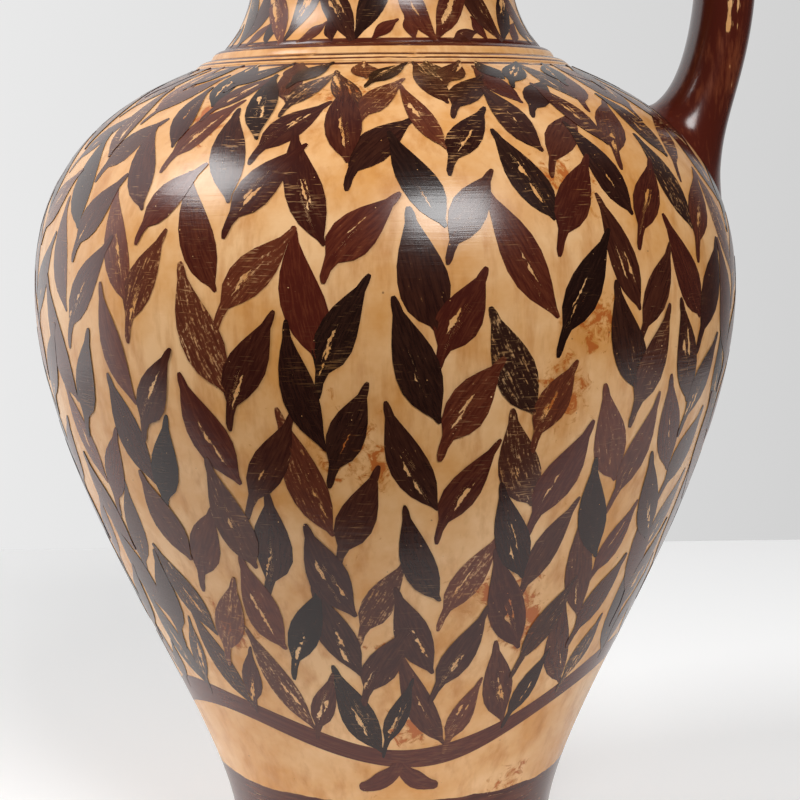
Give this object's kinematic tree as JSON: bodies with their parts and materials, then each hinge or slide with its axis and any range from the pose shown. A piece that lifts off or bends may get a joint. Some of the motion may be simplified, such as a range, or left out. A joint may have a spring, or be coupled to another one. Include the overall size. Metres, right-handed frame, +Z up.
{
  "type": "oinochoe jug",
  "caption": "Ovoid fired-clay wine jug with a trefoil pouring mouth, a tooled ring at the neck, a strap handle from lip to shoulder and a splayed foot.",
  "frame": {"origin": "middle of the foot's resting face", "axes": "+Z up along the jug's axis, +X towards the handle, -X towards the pouring lobe"},
  "size_m": [0.2065, 0.2, 0.3088],
  "materials": {
    "painted_clay": "buff clay painted with brown slip leaves under a thin satin coat",
    "slip_coat": "dark red-brown slip, brushed, under a thin satin coat"
  },
  "bodies": {
    "root": {"foot": "slip_coat", "body": "painted_clay", "neck_ring": "painted_clay", "neck": "painted_clay", "handle": "slip_coat"}
  },
  "joints": []
}
